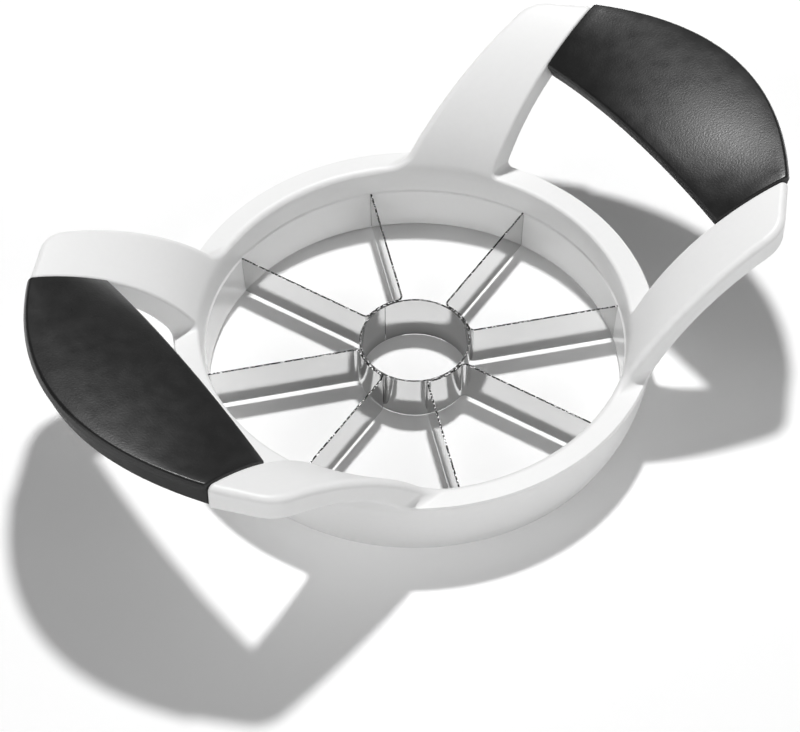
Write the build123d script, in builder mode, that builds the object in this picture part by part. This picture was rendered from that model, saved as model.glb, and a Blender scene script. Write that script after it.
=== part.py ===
"""Apple slicer press: a white ring with two swept-up handles, soft black grips,
and a stainless wheel of eight blades round a coring tube.

Frame: the ring stands on Z = 0, its axis is Z, and the two handles rise along +X and -X.
All sizes are in millimetres.
"""
from build123d import *
from math import cos, hypot, radians, sin, sqrt, tan
import os

os.makedirs("parts", exist_ok=True)

# ---------------------------------------------------------------- driving dimensions

# ring
rim_height = 19.2           # top of the ring above the table
rim_outer_radius = 56.5     # widest place of the outer wall
rim_width = 5.8             # flat top of the ring, from the outer wall to the dish
foot_inset = 3.7            # the outer wall draws in by this much down to the table
skirt_thickness = 1.0       # wall round the blade carrier at the foot
inner_blend_radius = 10.0   # between the inner wall and the dish
outer_blend_radius = 5.0    # between the outer wall and the underside of the dish

# blade carrier, the separate ring inside the foot
step_height = 12.0          # top of the carrier: the step seen on the inner wall
carrier_wall = 2.0          # from the ring's socket to the carrier's bore at its top
carrier_draft = 0.7         # the bore is this much narrower at its foot
carrier_foot_gap = 0.4      # the carrier stops this far above the table
carrier_foot_chamfer = 1.2  # on its inner edge there
carrier_clearance = 0.02    # round the carrier, a snug fit inside the ring
step_reveal = 0.3           # the ring's own wall stands back this far above the carrier

# dish: the arms are cut from it; its two sides are arcs that end level, at its highest place
dish_start_z = 18.73        # upper side at the ring's inner wall, before the blend
dish_reach = 51.9           # from there out to the highest place
dish_rise = 34.17           # and up to it
under_start_z = 17.5        # underside at the ring's outer wall, before the blend
under_reach = 40.4
under_rise = 27.2

# outline of one arm, seen from above; the grip stands on the arm along the joint
shoulder_reach = 12.7       # outer corner of the arm, outwards from the ring's side
shoulder_inset = 8.15       # and inwards from the ring's front
shoulder_radius = 9.0
joint_out_step = (10.7, 11.55)  # outer end of the joint, and tip of the arm, from that corner
joint_length = 18.3
joint_angle = 13.3          # degrees that the joint turns outwards from the X axis
arm_splay = 4.86            # and the arm's outer side
inner_start = 0.67          # the outline begins inside the ring, clear of its wall,
outer_start = 0.27          # at these shares of the ring's radius
inner_root_round = 1.6      # fillet where the arm's inner side stands on the ring
outer_root_round = 2.0      # and its outer side
outer_edge_round = 1.4      # rounding of the upper edges outside the handles
inner_edge_round = 0.8      # rounding of the upper edges inside the handles
lower_edge_chamfer = 0.6    # on the edges below them

# grip: where a size has two values, they are for its end, on the joint, and for its middle
grip_proud = 0.3            # at the joint it stands this far out of the arm
grip_bow = 0.15             # its inner edge is this much further out at its middle
grip_belly = 13.6           # and the grip is this much wider there than at its end
grip_rise_in = 3.8          # its inner edge is this much higher there
grip_rise_out = 1.9         # and its outer crease
grip_lip = (1.3, 1.7)       # height of the crease above the widest line
grip_crease_inset = 0.7     # the crease lies this far inside the widest line
grip_under_in = (2.8, 2.1)  # lower inner edge, outwards from the upper one
grip_under_out = (1.8, 1.7) # lower outer edge, inwards from the widest line
grip_depth_in = 4.8         # at its middle, inner side from edge to edge
grip_depth_out = 5.6        # and outer side below the widest line
grip_crown = (0.9, 1.2)     # rise of the upper side above its chord
grip_edge_round = 0.8
rubber_share = 0.38         # rubber over the core bar, as a share of the inner side's depth
bond_gap = 0.02             # between the rubber and the core bar
core_reach = 0.05           # the core bar reaches into each arm, as a share of half the grip

# blades
blade_pairs = {"east": 0, "north": 90, "west": 180, "south": 270}
blade_half_angle = 22.5     # each blade from the middle of its pair
blade_thickness = 0.45
blade_bottom = 1.2          # cutting edge above the table
blade_top = 12.4
shoulder_entry = 0.1        # the full height of a blade runs this far into the carrier
tongue_length = 0.9         # and its tongue this much further
tongue_relief = 0.5         # the tongue is this much lower than the blade, top and bottom
core_radius = 13.2          # outside of the coring tube
core_wall = 0.45
core_bottom = 0.2           # its cutting edge, lower than the blades'
contact_gap = 0.05          # between the tube and the bent strips
bend_radius = 1.2           # where a strip turns off the tube
bevel_height = 0.7          # ground bevel along the cutting edges
bevel_land = 0.1            # thickness left at the very edge
slot_clearance = 0.05       # round a blade end in the carrier
seam_gap = 0.15             # butt seam of the coring tube
seam_angle = 89.0

# ---------------------------------------------------------------- ring and dish

rim_inner_radius = rim_outer_radius - rim_width
foot_radius = rim_outer_radius - foot_inset
socket_radius = foot_radius - skirt_thickness
step_inner_radius = socket_radius - carrier_wall
upper_wall_radius = step_inner_radius + step_reveal


def arc_radius(reach, rise):
    """Radius of an arc that ends level, this far out and up from its start."""
    return (reach**2 + rise**2) / (2 * rise)


def arc_z(radius, start, reach, rise):
    """Height, at a distance from the axis, of an arc that ends level."""
    bow = arc_radius(reach, rise)
    to_end = start[0] + reach - radius
    return start[1] + rise - bow + sqrt(bow**2 - to_end**2)


dish_start = (rim_inner_radius, dish_start_z)
under_start = (rim_outer_radius, under_start_z)


def dish_z(radius):
    """Height of the dish's upper side at a distance from the axis."""
    return arc_z(radius, dish_start, dish_reach, dish_rise)


def under_z(radius):
    """Height of the dish's underside at a distance from the axis."""
    return arc_z(radius, under_start, under_reach, under_rise)


dish_end = (rim_inner_radius + dish_reach, dish_start_z + dish_rise)
dish_middle_radius = rim_inner_radius + dish_reach / 2
under_end = (rim_outer_radius + under_reach, under_start_z + under_rise)
under_middle_radius = rim_outer_radius + under_reach / 2

with BuildPart() as bowl:
    with BuildSketch(Plane.XZ):
        with BuildLine():
            TangentArc(under_start, (foot_radius, 0), tangent=(0, -1))
            Polyline(
                (foot_radius, 0),
                (socket_radius, 0),
                (socket_radius, step_height),
                (upper_wall_radius, step_height),
                dish_start,
            )
            ThreePointArc(dish_start, (dish_middle_radius, dish_z(dish_middle_radius)), dish_end)
            Polyline(dish_end, (dish_end[0], under_end[1]), under_end)
            under_middle = (under_middle_radius, under_z(under_middle_radius))
            ThreePointArc(under_end, under_middle, under_start)
        make_face()
        fillet(vertices().sort_by_distance(dish_start)[0], inner_blend_radius)
        fillet(vertices().sort_by_distance(under_start)[0], outer_blend_radius)
    revolve(axis=Axis.Z)


def polar(radius, angle):
    """A point in a plane from its distance and direction."""
    return (radius * cos(radians(angle)), radius * sin(radians(angle)))


def along(point, angle, x):
    """The point at this x on the straight line through a point at this angle to the X axis."""
    return (x, point[1] + (x - point[0]) * tan(radians(angle)))


shoulder = (rim_outer_radius + shoulder_reach, rim_outer_radius - shoulder_inset)
joint_out = (shoulder[0] + joint_out_step[0], shoulder[1] - joint_out_step[1])
joint_step = polar(joint_length, joint_angle)
joint_in = (joint_out[0] - joint_step[0], joint_out[1] - joint_step[1])

with BuildPart() as arm_space:
    with BuildSketch(Plane.XY.offset(rim_height)):
        with BuildLine():
            Polyline(
                along(joint_out, joint_angle, inner_start * rim_outer_radius),
                joint_out,
                shoulder,
                along(shoulder, arm_splay, outer_start * rim_outer_radius),
                close=True,
            )
        make_face()
        fillet(vertices().sort_by_distance(shoulder)[0], shoulder_radius)
    extrude(amount=dish_end[1])
    mirror(about=Plane.XZ)
    mirror(about=Plane.YZ)

with BuildPart() as cut_away:
    with BuildSketch(Plane.XY.offset(rim_height)):
        Circle(dish_end[0] + 1)
    extrude(amount=dish_end[1])
    add(arm_space.part, mode=Mode.SUBTRACT)

# ---------------------------------------------------------------- grips


def joint_radius(distance):
    """Distance from the axis of the place this far along the joint from its inner end."""
    step = polar(distance, joint_angle)
    return hypot(joint_in[0] + step[0], joint_in[1] + step[1])


def end_and_middle(end, change):
    """A size at the end of the grip, and the same size changed by this much at its middle."""
    return (end, end + change)


grip_in_x = end_and_middle(joint_in[0], grip_bow)
grip_width = end_and_middle(joint_length + grip_proud, grip_belly)
grip_in_z = end_and_middle(dish_z(joint_radius(0)) + grip_proud, grip_rise_in)
grip_top_z = end_and_middle(dish_z(joint_radius(joint_length)) + grip_proud, grip_rise_out)
grip_low_in_z = (
    under_z(joint_radius(grip_under_in[0])),
    grip_in_z[1] - grip_depth_in,
)
grip_low_out_z = (
    under_z(joint_radius(grip_width[0] - grip_under_out[0])),
    grip_top_z[1] - grip_lip[1] - grip_depth_out,
)


def between(ends, place):
    """A size at a place along the grip, 0 at its middle and 1 or -1 at its ends."""
    end, middle = ends
    return middle + (end - middle) * place**2


def grip_plane(place):
    """Upright plane across the grip; its origin is under the grip's inner edge."""
    turn = radians(joint_angle * place)
    return Plane(
        origin=(between(grip_in_x, place), joint_in[1] * place, 0),
        x_dir=(cos(turn), sin(turn), 0),
        z_dir=(sin(turn), -cos(turn), 0),
    )


def grip_corners(place):
    """Corners of the grip's section: inner top, crease, widest, outer low, inner low."""
    width = between(grip_width, place)
    crease_z = between(grip_top_z, place)
    return [
        (0, between(grip_in_z, place)),
        (width - grip_crease_inset, crease_z),
        (width, crease_z - between(grip_lip, place)),
        (width - between(grip_under_out, place), between(grip_low_out_z, place)),
        (between(grip_under_in, place), between(grip_low_in_z, place)),
    ]


def grip_section(place):
    """One section of the grip: crowned upper side, steep lip, drawn-in sides."""
    inner_top, crease, widest, outer_low, inner_low = grip_corners(place)
    crown_z = (inner_top[1] + crease[1]) / 2 + between(grip_crown, place)
    with BuildSketch(grip_plane(place)) as section:
        with BuildLine():
            ThreePointArc(inner_top, (crease[0] / 2, crown_z), crease)
            Polyline(crease, widest, outer_low, inner_low, inner_top)
        make_face()
        fillet(section.vertices(), grip_edge_round)
    return section.sketch.face()


def core_section(place, gap):
    """One section of the bar inside the grip: four plain sides, grown by a gap."""
    inner_top, crease, widest, outer_low, inner_low = grip_corners(place)
    rubber_wall = rubber_share * (inner_top[1] - inner_low[1])
    with BuildSketch(grip_plane(place)) as section:
        with BuildLine():
            Polyline(inner_top, crease, outer_low, inner_low, close=True)
        make_face()
        offset(amount=gap - rubber_wall, mode=Mode.REPLACE)
    return section.sketch.face()


grip_stations = (-1, 0, 1)
core_stations = (-1 - core_reach, 0, 1 + core_reach)

with BuildPart() as core_bar:
    loft([core_section(place, 0) for place in core_stations])

with BuildPart() as core_hole:
    loft([core_section(place, bond_gap) for place in core_stations])

with BuildPart() as grip_east:
    loft([grip_section(place) for place in grip_stations])
    add(core_hole.part, mode=Mode.SUBTRACT)
grip_east.part.label = "grip_east"
export_step(grip_east.part, "parts/grip_east.step")

with BuildPart() as grip_west:
    add(grip_east.part.rotate(Axis.Z, 180))
grip_west.part.label = "grip_west"
export_step(grip_west.part, "parts/grip_west.step")

# ---------------------------------------------------------------- white body


def by_handle(edge):
    """Whether an edge lies on the handle sides of the ring, nearer the X axis."""
    return abs((edge @ 0.5).X) > abs((edge @ 0.5).Y)


def off_handle(edge):
    """Whether an edge lies on the open sides of the ring, nearer the Y axis."""
    return not by_handle(edge)


def land_edges(kind):
    """Edges of one kind round the flat top of the ring, of the part being built."""
    return edges().filter_by_position(Axis.Z, rim_height, rim_height).filter_by(kind)


def inside_land(arc):
    """Whether an arc runs along the inner edge of the ring's flat top."""
    return arc.radius < (rim_inner_radius + rim_outer_radius) / 2


def outside_land(arc):
    """Whether an arc runs along the outer edge of the ring's flat top."""
    return not inside_land(arc)


with BuildPart() as body_frame:
    add(bowl.part)
    add(cut_away.part, mode=Mode.SUBTRACT)
    # past the roots of the arms each of these runs on along the edges of the arms
    fillet(land_edges(GeomType.LINE).filter_by(by_handle), inner_root_round)
    fillet(land_edges(GeomType.LINE).filter_by(off_handle), outer_root_round)
    rim_arcs = land_edges(GeomType.CIRCLE)
    fillet(rim_arcs.filter_by(inside_land).filter_by(off_handle), outer_edge_round)
    rim_arcs = land_edges(GeomType.CIRCLE)
    fillet(rim_arcs.filter_by(inside_land).filter_by(by_handle), inner_edge_round)
    chamfer(land_edges(GeomType.CIRCLE).filter_by(outside_land), lower_edge_chamfer)
    add(core_bar.part)
    add(core_bar.part.rotate(Axis.Z, 180))
body_frame.part.label = "body_frame"
export_step(body_frame.part, "parts/body_frame.step")

# ---------------------------------------------------------------- blade carrier

carrier_radius = socket_radius - carrier_clearance
carrier_top = step_height - carrier_clearance
carrier_foot_radius = step_inner_radius - carrier_draft
blade_shoulder_radius = step_inner_radius + shoulder_entry
tongue_radius = blade_shoulder_radius + tongue_length
slot_end = tongue_radius + slot_clearance

with BuildPart() as blade_carrier:
    with BuildSketch(Plane.XZ):
        with BuildLine():
            Polyline(
                (carrier_foot_radius, carrier_foot_gap),
                (carrier_radius, carrier_foot_gap),
                (carrier_radius, carrier_top),
                (step_inner_radius, carrier_top),
                close=True,
            )
        make_face()
        foot_corner = (carrier_foot_radius, carrier_foot_gap)
        chamfer(vertices().sort_by_distance(foot_corner)[0], carrier_foot_chamfer)
    revolve(axis=Axis.Z)
    with BuildSketch(Plane.XY):
        for pair_angle in blade_pairs.values():
            for side in (-1, 1):
                with Locations(Location((0, 0, 0), (0, 0, pair_angle + side * blade_half_angle))):
                    with Locations((slot_end / 2, 0)):
                        Rectangle(slot_end, blade_thickness + 2 * slot_clearance)
    extrude(amount=rim_height, mode=Mode.SUBTRACT)
blade_carrier.part.label = "blade_carrier"
export_step(blade_carrier.part, "parts/blade_carrier.step")

# ---------------------------------------------------------------- coring tube

core_bevel_top = core_bottom + bevel_height
core_bore = core_radius - core_wall
edge_side = (core_wall - bevel_land) / 2

with BuildPart() as core_ring:
    with BuildSketch(Plane.XZ):
        with BuildLine():
            Polyline(
                (core_radius, blade_top),
                (core_bore, blade_top),
                (core_bore, core_bevel_top),
                (core_bore + edge_side, core_bottom),
                (core_radius - edge_side, core_bottom),
                (core_radius, core_bevel_top),
                close=True,
            )
        make_face()
    revolve(axis=Axis.Z)
    with BuildSketch(Plane.XY.rotated((0, 0, seam_angle))):
        with Locations((core_radius, 0)):
            Rectangle(4 * core_wall, seam_gap)
    extrude(amount=rim_height, mode=Mode.SUBTRACT)
core_ring.part.label = "core_ring"
export_step(core_ring.part, "parts/core_ring.step")

# ---------------------------------------------------------------- blades

strip_radius = core_radius + contact_gap + blade_thickness / 2
bevel_top = blade_bottom + bevel_height


def strip_outline(height, turn, width):
    """Plan of one bent strip at a height, turned about the axis."""
    start = polar(tongue_radius, blade_half_angle)
    bend = polar(strip_radius, blade_half_angle)
    with BuildSketch(Plane.XY.offset(height).rotated((0, 0, turn))) as outline:
        with BuildLine() as path:
            Line(start, bend)
            ThreePointArc(bend, (strip_radius, 0), (bend[0], -bend[1]))
            Line((bend[0], -bend[1]), (start[0], -start[1]))
            bends = path.vertices().sort_by(Axis.X)[:2]
            fillet(bends, bend_radius + blade_thickness / 2)
        trace(line_width=width)
    return outline.sketch.face()


with BuildPart() as tongue_space:
    with BuildSketch(Plane.XZ):
        for relief_z in (blade_bottom, blade_top):
            with Locations((blade_shoulder_radius, relief_z)):
                Rectangle(rim_height, 2 * tongue_relief, align=(Align.MIN, Align.CENTER))
    revolve(axis=Axis.Z)

for side_name, pair_angle in blade_pairs.items():
    with BuildPart() as blade_pair:
        edge_outline = strip_outline(blade_bottom, pair_angle, bevel_land)
        full_outline = strip_outline(bevel_top, pair_angle, blade_thickness)
        loft([edge_outline, full_outline], ruled=True)
        extrude(full_outline, amount=blade_top - bevel_top)
        add(tongue_space.part, mode=Mode.SUBTRACT)
    blade_pair.part.label = "blade_pair_" + side_name
    export_step(blade_pair.part, "parts/blade_pair_" + side_name + ".step")
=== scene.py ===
# %% [markdown]
# # An apple slicer, photographed on a white table
#
# The slicer is a white ring with two swept-up handles. Soft black grips join the ends of the
# arms, and eight steel blades run from a coring tube to a white carrier inside the ring.
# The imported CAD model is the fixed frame: every piece below is made in its coordinates, in
# metres, so nothing is moved into place afterwards. Small sizes are written as millimetres
# times `mm`.

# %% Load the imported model
import bpy
from math import cos, pi, radians, sin
import numpy as np
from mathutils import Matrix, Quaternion, Vector


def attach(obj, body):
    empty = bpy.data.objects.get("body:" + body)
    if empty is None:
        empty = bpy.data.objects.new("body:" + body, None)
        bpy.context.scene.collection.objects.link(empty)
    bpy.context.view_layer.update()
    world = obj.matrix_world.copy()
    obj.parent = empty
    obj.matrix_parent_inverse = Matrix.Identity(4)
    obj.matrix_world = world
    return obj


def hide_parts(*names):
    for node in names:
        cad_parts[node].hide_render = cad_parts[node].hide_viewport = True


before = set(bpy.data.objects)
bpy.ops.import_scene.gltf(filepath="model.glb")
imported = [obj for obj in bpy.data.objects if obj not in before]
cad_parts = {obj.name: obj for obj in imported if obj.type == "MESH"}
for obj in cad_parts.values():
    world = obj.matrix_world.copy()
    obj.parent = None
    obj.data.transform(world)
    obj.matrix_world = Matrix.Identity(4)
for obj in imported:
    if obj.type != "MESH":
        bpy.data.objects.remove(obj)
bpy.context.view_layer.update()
mm = 0.001
print("pieces in the frame:", ", ".join(sorted(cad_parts)))

# %% [markdown]
# ## Sums of values in a material
#
# A finish could be drawn as nodes and links one by one, but it is easier to read as an
# expression. `Value` holds one output of a material's nodes, and adding or multiplying it
# adds the Math nodes. `Finish` holds a material while it is made: its method `node` takes
# the type of a node, its settings, which are set first, and the numbers or links of its
# inputs.

# %% Values and finishes


class Value:
    """One output of a material's nodes. Arithmetic on it adds Math nodes."""

    def __init__(self, finish, socket):
        self.finish = finish
        self.socket = socket

    def math(self, operation, first, second):
        """A Math node on two values or numbers."""
        return self.finish.node("ShaderNodeMath", {"operation": operation}, {0: first, 1: second})

    def __add__(self, other):
        return self.math("ADD", self, other)

    def __radd__(self, other):
        return self.math("ADD", other, self)

    def __mul__(self, other):
        return self.math("MULTIPLY", self, other)

    def __rmul__(self, other):
        return self.math("MULTIPLY", other, self)


class Finish:
    """A material while it is made, or the world's: its nodes and its surface."""

    def __init__(self, owner):
        owner.use_nodes = True
        self.name = owner.name
        self.tree = owner.node_tree
        self.tree.nodes.clear()

    def node(self, kind, settings=None, inputs=None, output=0):
        """Adds a node: its settings first, then numbers or links for its inputs."""
        node = self.tree.nodes.new(kind)
        for name, setting in (settings or {}).items():
            setattr(node, name, setting)
        for name, value in (inputs or {}).items():
            if isinstance(value, Value):
                self.tree.links.new(value.socket, node.inputs[name])
            else:
                node.inputs[name].default_value = value
        if node.outputs:
            return Value(self, node.outputs[output])

    def place(self, scale=(1, 1, 1)):
        """Object coordinates in metres, each one times its part of the scale."""
        spot = self.node("ShaderNodeTexCoord", output="Object")
        return self.node("ShaderNodeMapping", {}, {"Vector": spot, "Scale": scale})

    def distance(self, scale=(1, 1, 1)):
        """Distance from the origin: the length of the scaled object coordinates."""
        length = {"operation": "LENGTH"}
        return self.node("ShaderNodeVectorMath", length, {0: self.place(scale)}, output="Value")

    def noise(self, size, detail=2.0, stretch=(1, 1, 1)):
        """Soft noise from 0 to 1 with features of about this size in metres."""
        return self.node(
            "ShaderNodeTexNoise",
            {"noise_dimensions": "3D"},
            {"Vector": self.place(stretch), "Scale": 1 / size, "Detail": detail},
        )

    def within(self, value, start, end):
        """A value that goes from 0 at the start to 1 at the end, and stays there."""
        span = {"Value": value, "From Min": start, "From Max": end}
        return self.node("ShaderNodeMapRange", {}, span)

    def blend(self, share, first, second):
        """A colour between two, each one a value, three numbers, or one number for a grey."""
        inputs = {0: share}
        for socket, colour in ((6, first), (7, second)):  # the two colours of a Mix node
            if isinstance(colour, float):
                colour = (colour, colour, colour)
            inputs[socket] = colour if isinstance(colour, Value) else (*colour, 1.0)
        return self.node("ShaderNodeMix", {"data_type": "RGBA"}, inputs, output=2)

    def bump(self, height, depth):
        """Normals of a relief this deep in metres."""
        relief = {"Height": height, "Distance": depth, "Strength": 1.0}
        return self.node("ShaderNodeBump", {}, relief)

    def surface(self, **inputs):
        """The finished surface, from the inputs of one Principled shader."""
        named = {name.replace("_", " "): value for name, value in inputs.items()}
        shader = self.node("ShaderNodeBsdfPrincipled", {}, named)
        self.node("ShaderNodeOutputMaterial", {}, {"Surface": shader})
        print(self.name, "has", len(self.tree.nodes), "nodes")


def material(name):
    """A new material and the finish that it is made with."""
    made = bpy.data.materials.new(name)
    return made, Finish(made)


def dress(node_name, made):
    """Gives a piece of the frame its material."""
    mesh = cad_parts[node_name].data
    mesh.materials.clear()
    mesh.materials.append(made)
    print(node_name, "is dressed in", made.name)


# %% [markdown]
# ## White gloss plastic
#
# The ring and the arms are one moulding of glossy white plastic. A real moulding is never
# quite even: the polish of the mould drifts a little, which shows in the roughness, and the
# pigment and the skin are faintly speckled. Both could be painted on an unwrapped image.
# Noise on Object coordinates needs no unwrapping and keeps its real size on every piece, so
# each of them is a noise at its own scale.

# %% White of the ring and its arms
white_gloss, finish = material("white_gloss")
drift = finish.noise(15 * mm)
speckle = finish.noise(1.2 * mm)
finish.surface(
    Base_Color=finish.blend(speckle, (0.832, 0.832, 0.829), (0.856, 0.856, 0.854)),
    Roughness=0.45 + 0.06 * drift,
    Normal=finish.bump(speckle, 0.0015 * mm),
    IOR=1.5,
)
dress("body_frame", white_gloss)

# %% [markdown]
# ## White of the blade carrier
#
# The carrier that holds the blades is a moulding of its own inside the foot. It is a shade
# whiter and smoother, and its pigment is finer. One white for both would be simpler, but
# then the two mouldings would read as one.

# %% Carrier
white_satin, finish = material("white_satin")
drift = finish.noise(10 * mm)
grain = finish.noise(0.4 * mm)
finish.surface(
    Base_Color=finish.blend(grain, (0.845, 0.845, 0.842), (0.869, 0.869, 0.867)),
    Roughness=0.20 + 0.05 * drift,
    Normal=finish.bump(grain, 0.004 * mm),
    IOR=1.5,
)
dress("blade_carrier", white_satin)

# %% [markdown]
# ## Rolled stainless strip
#
# The blades and the coring tube are cut from rolled strip. Rolling leaves very fine lines
# along the strip, so the noise is drawn out in plan, which suits every blade, whatever way
# it points. The narrow upper side is torn by the shears and has light specks; its near-black
# colour is painted shade, a little less dark on the tube. Below, a bevel is ground, which is
# rougher than the rolled faces. Its darker colour is partly the ground finish and partly a
# painted reflection of the shaded table. A soft band above the bevel is painted darker too,
# most of all inside the tube: a painted reflection of the shaded table. The faces could be
# picked one by one and given four materials. Height above the table and distance from the
# axis tell all of them apart in one material, so it is done that way.

# %% Steel of the blades and the tube
upper_line = 12.35 * mm  # the upper side lies above this height
painted_shade_height = 3.5 * mm  # height of the band above the bevel painted darker, a painted reflection of the shaded table
tube_middle = 12.95 * mm  # radius of the middle of the tube's wall
edge_blur = 0.1 * mm
upper_blur = 0.02 * mm
drawn_out = (0.02, 0.02, 1)  # fifty times as long in plan
speck_start, speck_end = 0.54, 0.62  # specks lie where the noise is above these


def strip_steel(name, roughness, bevel_line, torn_top_and_shade_grey, speck_grey):
    """Rolled steel, cut along its top and ground below a line above the table, with painted shade
    on its top and a painted reflection of the shaded table low down.
    """
    made, finish = material(name)
    lines = finish.noise(0.3 * mm, stretch=drawn_out)
    cloud = finish.noise(4 * mm)
    height = finish.node("ShaderNodeSeparateXYZ", {}, {"Vector": finish.place()}, output="Z")
    ground = finish.within(height, bevel_line + edge_blur, bevel_line - edge_blur)
    painted_reflection_band = finish.within(height, bevel_line + painted_shade_height, bevel_line)
    upper = finish.within(height, upper_line, upper_line + upper_blur)
    specks = finish.within(finish.noise(0.5 * mm, 3.0), speck_start, speck_end)
    off_axis = finish.distance((1, 1, 0))
    bore = finish.within(off_axis, tube_middle + edge_blur, tube_middle - edge_blur)
    rolled = finish.blend(cloud, 0.67, (0.71, 0.71, 0.705))
    # painted reflection of the shaded table: the band above the bevel, strongest inside the tube;
    # the ground bevel is darker partly from its finish and partly as the same painted reflection
    ground_and_painted_shade = 0.06 * painted_reflection_band + 0.25 * ground + 0.45 * (painted_reflection_band * bore)
    side = finish.blend(ground_and_painted_shade, rolled, 0.20)
    finish.surface(
        # the torn upper side is painted nearly black as painted shade, with light specks
        Base_Color=finish.blend(upper, side, finish.blend(specks, torn_top_and_shade_grey, speck_grey)),
        Roughness=roughness + 0.05 * lines + 0.04 * cloud + 0.15 * ground + 0.16 * upper,
        Normal=finish.bump(lines, 0.003 * mm),
        Metallic=1.0,
    )
    return made


# the fourth number is the near-black painted shade of the upper side
blade_steel = strip_steel("blade_steel", 0.07, 1.9 * mm, 0.015, 0.90)
tube_steel = strip_steel("tube_steel", 0.03, 0.9 * mm, 0.08, 0.90)
for side in ("east", "north", "west", "south"):
    dress("blade_pair_" + side, blade_steel)
dress("core_ring", tube_steel)

# %% [markdown]
# ## Black rubber
#
# The grips are soft black rubber with a fine leathery grain, which comes from the texture
# of the mould. It shows most where the lamp glances off, so the grain works through the
# bump and the roughness, and a wider cloud makes the sheen patchy. The grain could be real
# relief in the mesh, but at half a millimetre that would take about a million faces. The
# underside is duller, as no hand polishes it. A thin, rough coat spreads the sheen.

# %% Rubber of the grips
black_rubber, finish = material("black_rubber")
grain = finish.noise(0.45 * mm, 3.0)
cloud = finish.noise(4 * mm, 3.0)
facing = finish.node("ShaderNodeTexCoord", output="Normal")
facing_up = finish.node("ShaderNodeSeparateXYZ", {}, {"Vector": facing}, output="Z")
underside = finish.within(facing_up, 0.2, -0.2)
finish.surface(
    Base_Color=finish.blend(cloud, 0.002, 0.004),
    Roughness=0.18 + 0.08 * grain + 0.22 * cloud + 0.35 * underside,
    Normal=finish.bump(grain, 0.03 * mm),
    IOR=1.40,
    Coat_Weight=0.2,
    Coat_Roughness=0.5,
    Coat_IOR=1.4,
)

# %% [markdown]
# ## The shape of a grip
#
# Each grip is a sleeve, moulded over the white bar that joins two arms. It is narrow where
# it meets the arms and widest in its middle. Its upper side is crowned, and a crease runs
# along its outer side. It could be sculpted from a box, but two outlines say it all, one at
# the joint with the arm and one in the middle. Their corners come from the arms that the
# grip continues, so the arms come first. They are cut from a dish, whose two sides are arcs
# that end level.

# %% The end of an arm
rim_outer = 56.5 * mm
rim_inner = 50.7 * mm
dish_upper = {"start": (rim_inner, 18.73 * mm), "reach": 51.9 * mm, "rise": 34.17 * mm}
dish_under = {"start": (rim_outer, 17.5 * mm), "reach": 40.4 * mm, "rise": 27.2 * mm}
joint_outer = np.array([79.9, 36.8]) * mm
joint_length = 18.3 * mm
joint_turn = radians(13.3)
joint_direction = np.array([cos(joint_turn), sin(joint_turn)])
joint_inner = joint_outer - joint_length * joint_direction


def level_arc(radius, start, reach, rise):
    """Height of an arc at a radius: it starts at a radius and height and ends level.

    The arc's own radius is the sum of the squares of its reach and its rise, over twice the
    rise. Its centre lies that far below its highest place, and the height above the centre
    is the root of the square of the arc's radius less that of the distance to the level end.
    """
    arc_radius = (reach**2 + rise**2) / (2 * rise)
    above_centre = (arc_radius**2 - (start[0] + reach - radius) ** 2) ** 0.5
    return start[1] + rise - arc_radius + above_centre


def arm_height(side, distance):
    """Height of a side of the arm, this far along the joint from its inner end.

    The radius there is the length of the inner end plus the distance times the direction.
    """
    radius = np.hypot(*(joint_inner + distance * joint_direction))
    return level_arc(radius, **side)


arm_depth = arm_height(dish_upper, 0) - arm_height(dish_under, 0)
print("depth of the arm at the joint's inner end in mm:", round(arm_depth / mm, 2))

# %% [markdown]
# ## Corners of the two outlines
#
# Each outline goes from the inner edge over the crease and the widest line to the two lower
# edges. A corner is its distance from the inner edge and its height. The outlines could be
# drawn by hand as curves, but with named sizes it stays clear what each corner does, and
# those at the joint follow the arm.

# %% Corners
proud = 0.3 * mm  # at the joint the grip stands this far out of the arm
belly = 13.6 * mm  # and it is this much wider in its middle
inner_rise = 3.8 * mm  # where its inner edge is this much higher
outer_rise = 1.9 * mm  # and its crease this much
crease_inset = 0.7 * mm  # the crease lies this far inside the widest line
joint_lip, middle_lip = 1.3 * mm, 1.7 * mm  # and this far above it
joint_under_in, middle_under_in = 2.8 * mm, 2.1 * mm  # the lower inner edge lies further out
joint_under_out, middle_under_out = 1.8 * mm, 1.7 * mm  # and the lower outer edge further in
inner_depth = 4.8 * mm  # depth of the inner side in the middle
outer_depth = 5.6 * mm  # and of the outer side below the widest line

joint_width = joint_length + proud
joint_crease = arm_height(dish_upper, joint_length) + proud
joint_low_out = joint_width - joint_under_out
joint_corners = np.array(
    [
        (0, arm_height(dish_upper, 0) + proud),
        (joint_width - crease_inset, joint_crease),
        (joint_width, joint_crease - joint_lip),
        (joint_low_out, arm_height(dish_under, joint_low_out)),
        (joint_under_in, arm_height(dish_under, joint_under_in)),
    ]
)
middle_width = joint_width + belly
middle_top = joint_corners[0, 1] + inner_rise
middle_crease = joint_crease + outer_rise
middle_widest = middle_crease - middle_lip
middle_corners = np.array(
    [
        (0, middle_top),
        (middle_width - crease_inset, middle_crease),
        (middle_width, middle_widest),
        (middle_width - middle_under_out, middle_widest - outer_depth),
        (middle_under_in, middle_top - inner_depth),
    ]
)
print("grip width in mm:", [round(w / mm, 1) for w in (joint_width, middle_width)])

# %% [markdown]
# ## Outlines with rounded corners
#
# Moulded rubber has no sharp edge. A Bevel modifier could round the edges, but it is held
# back where the faces get narrow. Drawing an outline in by a distance moves every corner
# along the line that halves it, and the corners of an outline drawn in by a radius are the
# centres of the arcs that round the edges. The hole for the bar is drawn in the same way.

# %% Rounded outlines
arc_points = 6
outline_points = 80


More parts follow.
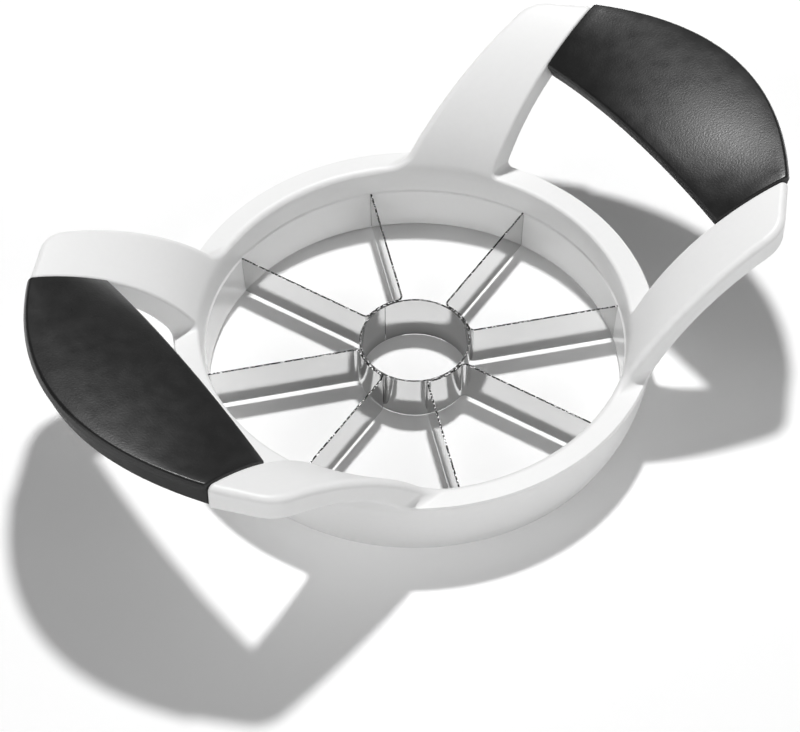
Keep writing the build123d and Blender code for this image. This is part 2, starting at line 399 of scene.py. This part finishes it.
def outward_angles(corners):
    """Direction in which each side faces: a quarter turn left of the way that it runs."""
    run = np.roll(corners, -1, axis=0) - corners
    return np.arctan2(run[:, 1], run[:, 0]) + pi / 2


def drawn_in(corners, distance):
    """The corners, each moved inwards until it is this far inside both of its sides.

    A corner moves against the sum of the directions of its two sides, by the distance over
    one plus the cosine between them.
    """
    leaving = outward_angles(corners)
    arriving = np.roll(leaving, 1)
    inwards = np.cos([leaving, leaving - pi / 2]) + np.cos([arriving, arriving - pi / 2])
    return corners - (distance * inwards / (1 + np.cos(arriving - leaving))).T


def crowned(across, width, crown):
    """Rise of the upper side: a parabola, four times the crown times s times 1 - s."""
    share = np.clip(across / width, 0, 1)
    return 4 * crown * share * (1 - share)


def rounded(corners, radius, crown=0.0):
    """Points round an outline with rounded corners, and the way out at each point.

    An arc round each corner turns evenly from the direction of one side to that of the
    next. The points between two arcs are evenly spaced on the side. The upper side, from
    the first corner to the second, is crowned.
    """
    leaving = outward_angles(corners)[:, None]
    arriving = np.roll(leaving, 1)
    turn = (arriving - leaving) % (2 * pi)
    angle = arriving - turn * np.linspace(0, 1, arc_points)
    out_of_arc = np.stack([np.cos(angle), np.sin(angle)], axis=-1)
    arc = drawn_in(corners, radius)[:, None] + radius * out_of_arc
    side_points = outline_points // len(corners) - arc_points
    share = np.linspace(0, 1, side_points + 2)[1:-1, None]
    side = arc[:, -1:] * (1 - share) + np.roll(arc, -1, axis=0)[:, :1] * share
    out_of_side = np.repeat(out_of_arc[:, -1:], side_points, axis=1)
    arc[:2, :, 1] += crowned(arc[:2, :, 0], corners[1, 0], crown)
    side[0, :, 1] += crowned(side[0, :, 0], corners[1, 0], crown)
    points = np.concatenate([arc, side], axis=1).reshape(-1, 2)
    out = np.concatenate([out_of_arc, out_of_side], axis=1).reshape(-1, 2)
    return points, out


edge_round = 0.8 * mm
joint_skin, joint_out = rounded(joint_corners, edge_round, crown=0.9 * mm)
middle_skin, middle_out = rounded(middle_corners, edge_round, crown=1.2 * mm)
print("height of the middle outline in mm:", round(np.ptp(middle_skin[:, 1]) / mm, 1))

# %% [markdown]
# ## The hole for the bar
#
# The rubber is moulded over a white bar with an outline of its own, which leaves out the
# corner of the widest line. The wall between the two is a share of the depth of the grip's
# inner side. A Boolean could cut the hole, but an outline gives it with clean faces.

# %% Outlines of the hole
rubber_share = 0.38
bar_edge_round = 0.1 * mm


def bar_outline(corners):
    """The corners without that of the widest line, drawn in by the wall, and rounded."""
    wall = rubber_share * (corners[0, 1] - corners[4, 1])
    return rounded(drawn_in(corners[[0, 1, 3, 4]], wall), bar_edge_round)[0]


joint_bar = bar_outline(joint_corners)
middle_bar = bar_outline(middle_corners)
print("width of the hole in mm:", round(np.ptp(middle_bar[:, 0]) / mm, 1))

# %% [markdown]
# ## From outlines to a sleeve
#
# Every point of the skin runs along a parabola, from the outline at one joint through the
# middle outline to the other joint. A NURBS surface could span the outlines, but it would
# only come near the middle one. So the whole sleeve is one grid of numbers: one direction
# goes round the outline, and the other goes along the grip, round the soft edge at its end,
# and back along the hole.

# %% The grid of a sleeve
end_round = 0.5 * mm
end_points = 6
stations = 61
middle_bow = 0.15 * mm  # the inner edge is this much further out in the middle


def upright(outline, start, direction):
    """An outline stood up in space: x, y = start + distance across times direction.

    The height of each of its points becomes z.
    """
    across, up = outline.T
    plan = [start[0] + across * direction[0], start[1] + across * direction[1]]
    return np.stack([*plan, up], axis=-1)


def along_grip(place, at_joint, at_middle):
    """Rows of points at places along the grip, from -1 at one joint to 1 at the other.

    Depth and height change from the middle to the joint with the square of the place, and
    the distance along the grip changes with the place itself.
    """
    square = place[:, None, None] ** 2
    rows = at_middle + (at_joint - at_middle) * square
    rows[..., 1] = at_joint[:, 1] * place[:, None]
    return rows


def sleeve_rows():
    """Rows of points round the sleeve: along its skin and back along its hole.

    At its ends the skin is drawn in by a quarter circle, so that it meets the arm with a
    soft edge: along the grip by the rounding times one minus the cosine, and inwards by the
    rounding times one minus the sine.
    """
    quarter = np.linspace(0, pi / 2, end_points)
    end_place = 1 - end_round * (1 - np.cos(quarter)) / joint_outer[1]
    end_inset = end_round * (1 - np.sin(quarter))
    middle_place = np.linspace(-1, 1, stations)[2:-2]
    place = np.concatenate([-end_place, middle_place, end_place[::-1]])
    inset = np.concatenate([end_inset, 0 * middle_place, end_inset[::-1]])
    middle_start = (joint_inner[0] + middle_bow, 0)
    skin = along_grip(
        place,
        upright(joint_skin, joint_inner, joint_direction),
        upright(middle_skin, middle_start, (1, 0)),
    )
    out = along_grip(
        place, upright(joint_out, (0, 0), joint_direction), upright(middle_out, (0, 0), (1, 0))
    )
    hole = along_grip(
        np.linspace(1, -1, stations),
        upright(joint_bar, joint_inner, joint_direction),
        upright(middle_bar, middle_start, (1, 0)),
    )
    return np.concatenate([skin - inset[:, None, None] * out, hole])


sleeve = sleeve_rows()
print("grid of the sleeve:", sleeve.shape[0], "rows of", sleeve.shape[1], "points")

# %% [markdown]
# ## From a grid to a mesh
#
# The last row of a sleeve joins the first, and so does the last point of each row, so the
# skin is closed like that of a ring. Faces could be added one by one in mesh code. Whole
# arrays handed over at once are quicker and shorter. A volume above zero shows that the
# faces point outwards.

# %% Closed meshes
sharp_angle = radians(40)


def closed_mesh(name, rows):
    """A mesh from rows of points, where the last row and the last point join the first.

    Its volume is a sixth of the sum, over the faces, of the first corner times the cross
    products of the second and third corners and of the third and fourth.
    """
    index = np.arange(rows.shape[0] * rows.shape[1]).reshape(rows.shape[:2])
    beside = np.roll(index, -1, axis=1)
    faces = np.stack(
        [index, beside, np.roll(beside, -1, axis=0), np.roll(index, -1, axis=0)], axis=-1
    ).reshape(-1, 4)
    mesh = bpy.data.meshes.new(name)
    mesh.vertices.add(index.size)
    mesh.vertices.foreach_set("co", rows.ravel())
    mesh.loops.add(faces.size)
    mesh.loops.foreach_set("vertex_index", faces.ravel())
    mesh.polygons.add(len(faces))
    mesh.polygons.foreach_set("loop_start", np.arange(0, faces.size, 4))
    mesh.update(calc_edges=True)
    mesh.polygons.foreach_set("use_smooth", np.ones(len(faces), dtype=bool))
    mesh.set_sharp_from_angle(angle=sharp_angle)
    first, second, third, fourth = np.moveaxis(rows.reshape(-1, 3)[faces], 1, 0)
    volume = (np.cross(second, third) + np.cross(third, fourth)) * first
    print(name, len(faces), "faces, volume in cubic mm:", round(volume.sum() / 6 / mm**3))
    return mesh


def added(name, data):
    """A new object at the origin with this mesh, lamp or camera."""
    made = bpy.data.objects.new(name, data)
    bpy.context.scene.collection.objects.link(made)
    return made


# %% [markdown]
# ## The two grips
#
# The second grip is the first one turned by half a turn about the axis. That changes the
# sign of two coordinates, so its faces still point outwards. A mirrored copy would be turned
# inside out.

# %% East and west grip
for name, turned in (("east", 1), ("west", -1)):
    mesh = closed_mesh("rubber_grip_" + name, sleeve * (turned, turned, 1))
    mesh.materials.append(black_rubber)
    grip = added("rubber_grip_" + name, mesh)
    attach(grip, "root")
    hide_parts("grip_" + name)
    spread = np.array(grip.bound_box)
    print("between", spread.min(axis=0).round(4), "and", spread.max(axis=0).round(4))

# %% [markdown]
# ## The rounding of the step
#
# Inside the ring a low step shows where the carrier ends. On the real slicer its edge is
# soft, and so it reads as a pale line. The two mouldings meet there with a hair's gap, which
# would look like a dark thread. A thin bead of the ring's plastic, with an S for its section,
# leads the carrier's wall softly into the ring's and closes that gap. It could be a curve
# with a bevel, but one profile turned about the axis is shorter.

# %% Bead over the step
carrier_bore = 49.8 * mm
step_width = 0.37 * mm
bead_foot = 11.97 * mm
bead_height = 0.75 * mm
bead_root = 0.05 * mm  # the bead's back lies this deep in the ring's wall
front_points = 9


def turned_round(profile, steps=360):
    """Turns a profile about the Z axis: x = radius cos a, y = radius sin a, z = height."""
    turn = np.linspace(0, 2 * pi, steps, endpoint=False)[:, None]
    radius, height = profile.T
    return np.stack([radius * np.cos(turn), radius * np.sin(turn), height + 0 * turn], axis=-1)


def bead_profile():
    """The S goes out by half a cosine wave while it rises, and the back is straight."""
    share = np.linspace(0, 1, front_points)
    front_radius = carrier_bore + step_width * (1 - np.cos(pi * share)) / 2
    front = np.stack([front_radius, bead_foot + bead_height * share], axis=-1)
    back = carrier_bore + step_width + bead_root
    return np.vstack([front, (back, bead_foot + bead_height), (back, bead_foot)])


bead_mesh = closed_mesh("step_bead", turned_round(bead_profile()))
bead_mesh.materials.append(white_gloss)
bead = added("step_bead", bead_mesh)
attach(bead, "root")

# %% [markdown]
# ## The table
#
# The table is white paper. Far from the lamp it would fall off to grey. A stronger lamp
# could keep it white, but would bleach the slicer too. So beyond the shadows the paper
# glows white, but only for the camera and in reflections: its glow doesn't fill the shadows.
# For the same two its colour is a little lighter than for the light that it throws back.

# %% Table
table_size = 3.0
glow_start = 170 * mm
glow_end = 300 * mm
bpy.ops.mesh.primitive_grid_add(x_subdivisions=2, y_subdivisions=2, size=table_size)
table = bpy.context.object
table.name = "table_paper"
paper, finish = material("table_paper")
camera_ray = finish.node("ShaderNodeLightPath", output="Is Camera Ray")
glossy_ray = finish.node("ShaderNodeLightPath", output="Is Glossy Ray")
seen = camera_ray + glossy_ray
fibre = finish.noise(3 * mm)
far = finish.within(finish.distance(), glow_start, glow_end)
finish.surface(
    Base_Color=finish.blend(seen, 0.88, 1.0),
    Roughness=0.9 + 0.05 * fibre,
    Emission_Color=finish.blend(far * seen, 0.0, 1.0),
    Emission_Strength=1.0,
)
table.data.materials.append(paper)
print("the table's paper glows from", glow_start, "m on, fully from", glow_end, "m")

# %% [markdown]
# ## The lamp
#
# One hard lamp stands high behind the slicer on the right, so the shadows fall forward to
# the left with fairly crisp edges. A sun would give crisp shadows too, but they wouldn't
# spread the way that those of a near lamp do.

# %% Lamp
lamp_place = (0.200, 0.240, 0.858)
lamp_energy = 25.8
lamp_radius = 35 * mm  # the larger, the softer the shadows
lamp = added("lamp", bpy.data.lights.new("lamp", "POINT"))
lamp.location = lamp_place
lamp.data.energy = lamp_energy
lamp.data.shadow_soft_size = lamp_radius
print("lamp at", [round(x, 3) for x in lamp.location])

# %% [markdown]
# ## Soft panels
#
# Four weak panels round the front fill the shadows. A bright sky would fill them too, but it
# would light the table more than the walls of the slicer. The panels stand low, so that they
# reach the walls more than the table.

# %% Soft panels round the front
panel_distance = 0.9
panel_size = 0.7
panel_elevation = radians(26)


def stand_off(thing, azimuth, elevation, distance, roll=0.0):
    """Stands a light or the camera off from the slicer, looking at the middle of its foot.

    For an azimuth a and an elevation e, the way to it is x = cos e cos a, y = cos e sin a,
    z = sin e. It looks back along that way and is turned about it by its roll.
    """
    level = cos(elevation)
    way = Vector((level * cos(azimuth), level * sin(azimuth), sin(elevation)))
    thing.location = way * distance
    thing.rotation_mode = "QUATERNION"
    thing.rotation_quaternion = way.to_track_quat("Z", "Y") @ Quaternion((0, 0, 1), roll)
    print(thing.name, "at", [round(x, 3) for x in thing.location])


for name, azimuth, energy in (
    ("left", 180, 2.05),
    ("corner", 225, 1.05),
    ("front", 280, 1.68),
    ("right", 330, 0.4),
):
    panel = added("panel_" + name, bpy.data.lights.new("panel_" + name, "AREA"))
    stand_off(panel, radians(azimuth), panel_elevation, panel_distance)
    panel.data.shape = "DISK"
    panel.data.size = panel_size
    panel.data.energy = energy

# %% [markdown]
# ## The room
#
# The room is nearly dark, so that the lamp makes the shadows. The camera would then see a
# black wall behind the table. A backdrop could hide it, but the world can be white for the
# camera alone, and a little lighter in reflections, while the shadows stay as they are.

# %% Room
room_light = 0.04
mirrored_light = 0.2  # what reflections see on top of it
room = bpy.data.worlds.new("room")
bpy.context.scene.world = room
finish = Finish(room)
camera_ray = finish.node("ShaderNodeLightPath", output="Is Camera Ray")
glossy_ray = finish.node("ShaderNodeLightPath", output="Is Glossy Ray")
brightness = room_light + (1 - room_light) * camera_ray + mirrored_light * glossy_ray
background = {"Color": (1, 1, 1, 1), "Strength": brightness}
light = finish.node("ShaderNodeBackground", {}, background)
finish.node("ShaderNodeOutputWorld", {}, {"Surface": light})
print("light of the room:", room_light)

# %% [markdown]
# ## The camera
#
# The photograph was taken from high up, in front of the slicer and to its left. Its camera
# could be set by eye. Here its place, focal length and axis were fitted to the circles of
# the ring and the corners of the grips, so that the render lies on the photograph. The axis
# meets the picture a little off its centre, which the lens shift repeats.

# %% Camera
image_width = 800
image_height = 732
camera_azimuth = radians(-124.94)
camera_elevation = radians(48.78)
camera_roll = radians(-0.18)
camera_distance = 0.6922
focal_length_px = 2874.5
axis_x_px = 414.92
axis_y_px = 374.26
camera = added("camera", bpy.data.cameras.new("camera"))
bpy.context.scene.camera = camera
stand_off(camera, camera_azimuth, camera_elevation, camera_distance, camera_roll)
camera.data.lens = camera.data.sensor_width * focal_length_px / image_width
camera.data.shift_x = (image_width / 2 - axis_x_px) / image_width
camera.data.shift_y = (axis_y_px - image_height / 2) / image_width

# %% [markdown]
# ## Colours, and the end
#
# Colours are shown as they are, without a film look.

# %% Colours
bpy.context.scene.view_settings.view_transform = "Standard"
